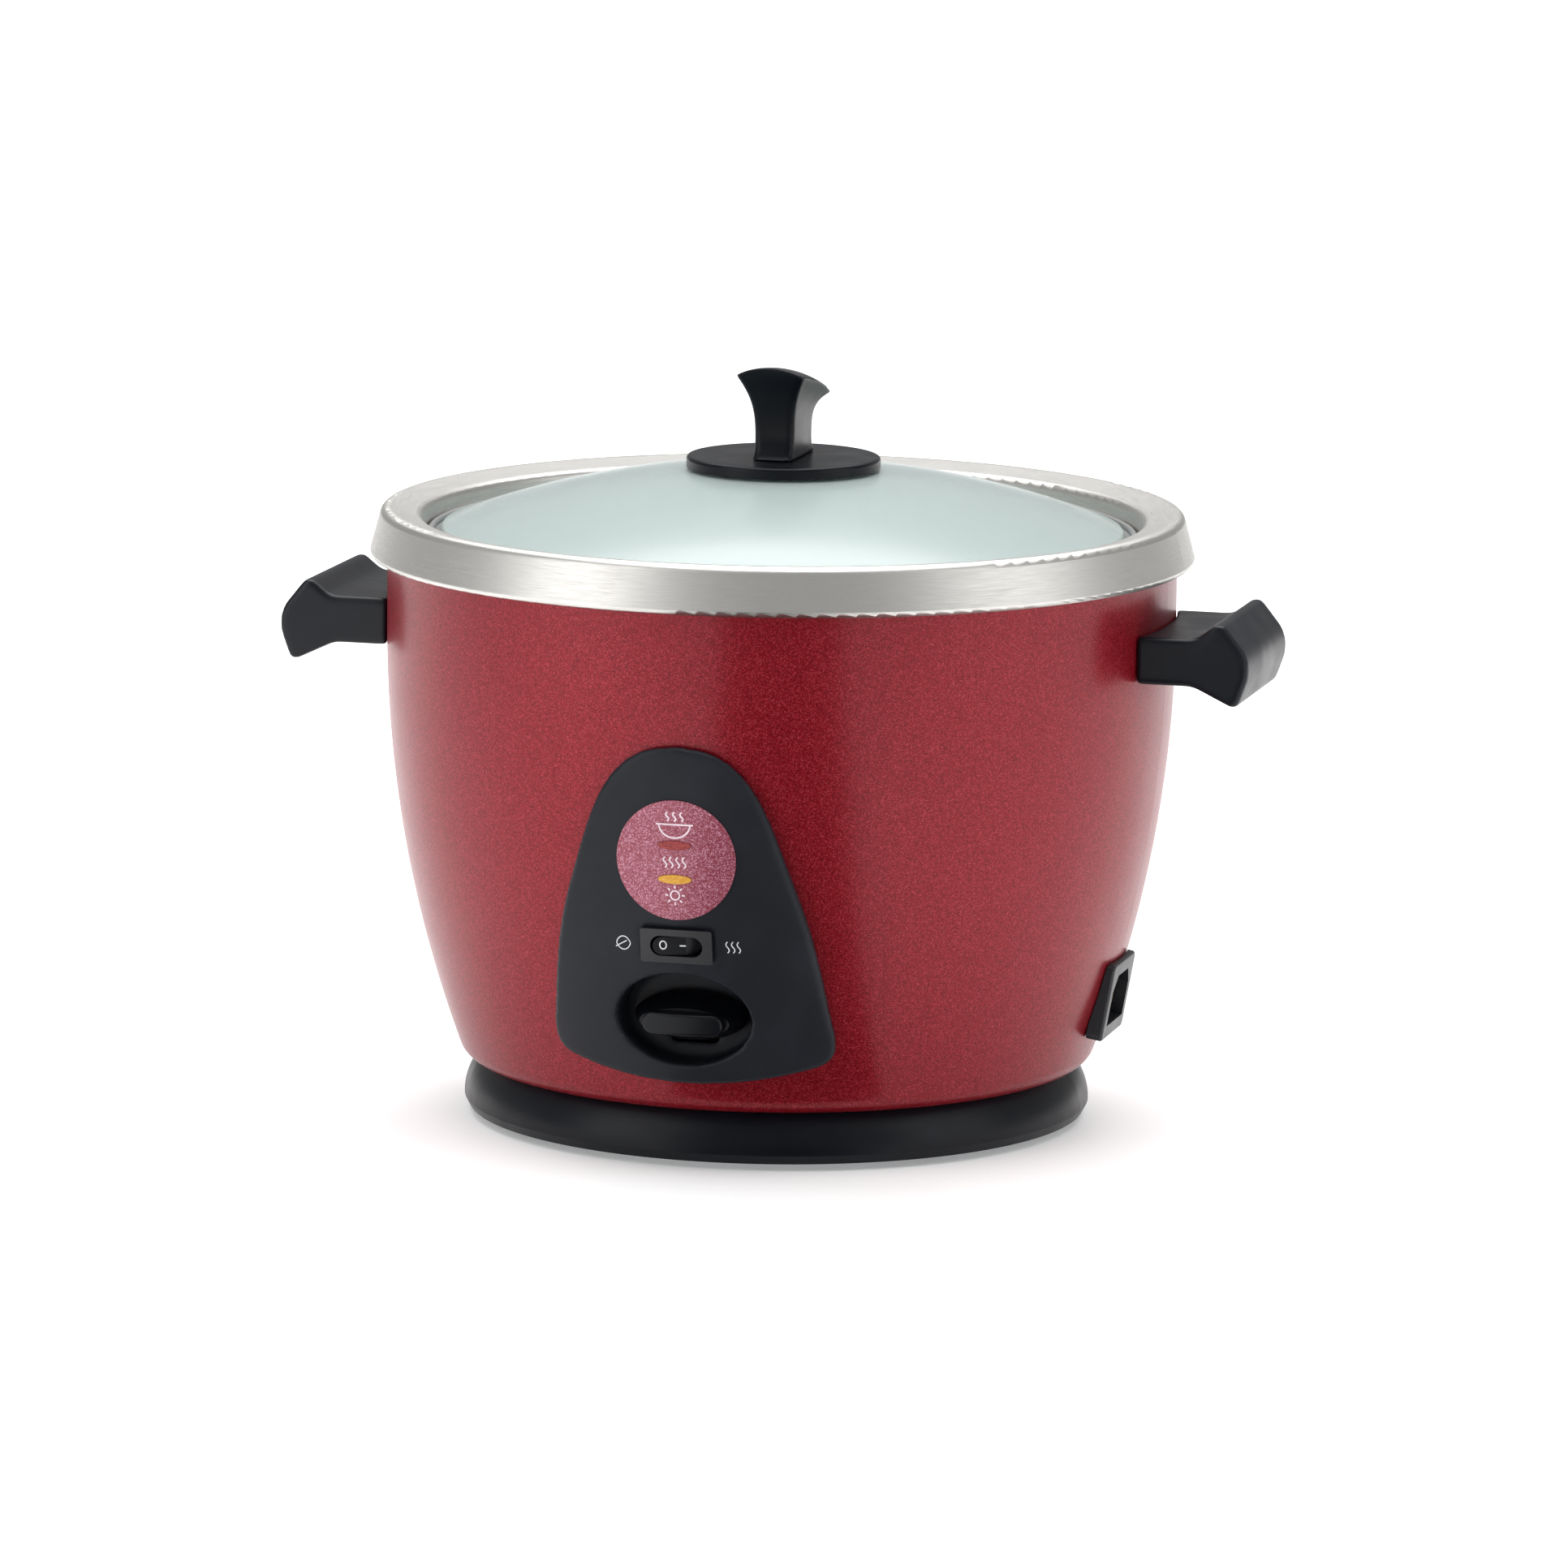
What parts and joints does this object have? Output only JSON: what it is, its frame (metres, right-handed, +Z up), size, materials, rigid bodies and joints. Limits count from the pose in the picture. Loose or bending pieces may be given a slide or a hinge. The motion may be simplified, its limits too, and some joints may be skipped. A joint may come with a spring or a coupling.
{
  "type": "rice cooker",
  "caption": "Round conventional rice cooker with lift-out pot, glass lid on a flared knob, cook lever, rocker switch, side handles and a mains inlet.",
  "frame": {"origin": "on the centre line, at the plane that the four feet stand on", "axes": "+X runs through the mains inlet and both handles, -Y is the front with the control panel, +Z is up"},
  "size_m": [0.3336, 0.2766, 0.2554],
  "materials": {
    "rubber_black": "matt",
    "satin_black": "satin",
    "galvanised": "plated",
    "screw_steel": "plated",
    "red_paint": "metallic flake, semi gloss",
    "brushed_rim": "brushed",
    "liner_steel": "satin",
    "heater_band": "woven sleeve",
    "cast_aluminium": "as cast, faced",
    "heater_sheath": "oxidised",
    "brass_tabs": "plain",
    "sensor_aluminium": "satin",
    "ferrite": "sintered",
    "spring_steel": "plated",
    "key_black": "satin",
    "bakelite": "matt",
    "fuse_sleeve": "glass sleeve",
    "panel_black": "satin",
    "label_red": "metallic film",
    "lens_red": "translucent",
    "lens_amber": "translucent",
    "board_green": "laminate",
    "lamp_glass": "clear",
    "switch_black": "satin",
    "inlet_black": "fine grain",
    "pin_nickel": "plated",
    "handle_black": "satin",
    "pot_aluminium": "satin",
    "lid_glass": "tempered",
    "vent_steel": "polished",
    "knob_black": "satin",
    "washer_silicone": "matt",
    "wire_brown": "matt",
    "wire_blue": "matt",
    "wire_green": "matt"
  },
  "bodies": {
    "housing": {"feet": "rubber_black", "base_ring": "satin_black", "bottom_cover": "galvanised", "cover_screws": "screw_steel", "outer_shell": "red_paint", "rim_ring": "brushed_rim", "inner_liner": "liner_steel", "keep_warm_band": "heater_band", "heating_plate": "cast_aluminium", "heater_tube": "heater_sheath", "heater_terminals": "brass_tabs", "plate_spacers": "screw_steel", "plate_screws": "screw_steel", "thermostat_frame": "galvanised", "thermostat_rivets": "screw_steel", "lever_bracket": "galvanised", "lever_pin": "screw_steel", "contact_switch": "bakelite", "contact_leaf": "brass_tabs", "thermal_fuse": "fuse_sleeve", "control_panel": "panel_black", "panel_label": "label_red", "lamp_lens_cook": "lens_red", "lamp_lens_warm": "lens_amber", "lamp_board": "board_green", "neon_lamps": "lamp_glass", "switch_housing": "switch_black", "switch_terminals": "brass_tabs", "inlet_housing": "inlet_black", "inlet_pins": "pin_nickel", "handle_left": "handle_black", "handle_right": "handle_black", "handle_screws": "screw_steel", "live_wire": "wire_brown", "neutral_wire": "wire_blue", "earth_wire": "wire_green"},
    "pot": {"inner_pot": "pot_aluminium"},
    "lid": {"lid_glass": "lid_glass", "steam_vent": "vent_steel", "knob_disc": "knob_black", "knob_grip": "knob_black", "knob_washer": "washer_silicone", "knob_screw": "screw_steel"},
    "lever": {"cook_lever": "galvanised", "cook_key": "key_black"},
    "plunger": {"plunger_magnet": "ferrite", "plunger_stem": "screw_steel", "plunger_spring": "spring_steel"},
    "sensor": {"sensor_cup": "sensor_aluminium", "sensor_ferrite": "ferrite", "sensor_spring": "spring_steel"},
    "rocker": {"switch_rocker": "switch_black"}
  },
  "joints": [
    {"name": "pot_lift", "type": "slide", "parent": "housing", "child": "pot", "axis": [0, 0, 1], "range_m": [0, 0.2]},
    {"name": "lid_lift", "type": "slide", "parent": "pot", "child": "lid", "axis": [0, 0, 1], "range_m": [0, 0.12]},
    {"name": "cook_lever_press", "type": "hinge", "parent": "housing", "child": "lever", "pos_m": [0, -0.062, 0.052], "axis": [1, 0, 0], "range_deg": [0, 5.5], "stiffness_Nm_per_rad": 0.4, "springref_deg": -5.73},
    {"name": "plunger_rise", "type": "slide", "parent": "housing", "child": "plunger", "axis": [0, 0, 1], "range_m": [0, 0.006], "deforming": ["plunger_spring"]},
    {"name": "sensor_press", "type": "slide", "parent": "housing", "child": "sensor", "axis": [0, 0, 1], "range_m": [-0.002, 0], "stiffness_N_per_m": 400, "springref_m": 0.003, "deforming": ["sensor_spring"]},
    {"name": "rocker_tilt", "type": "hinge", "parent": "housing", "child": "rocker", "pos_m": [0, -0.12894, 0.08007], "axis": [0, -0.1849, 0.9828], "range_deg": [-12, 0]}
  ],
  "couplings": [
    {"joint": "plunger_rise", "follows": "cook_lever_press", "m_per_rad": 0.062}
  ]
}
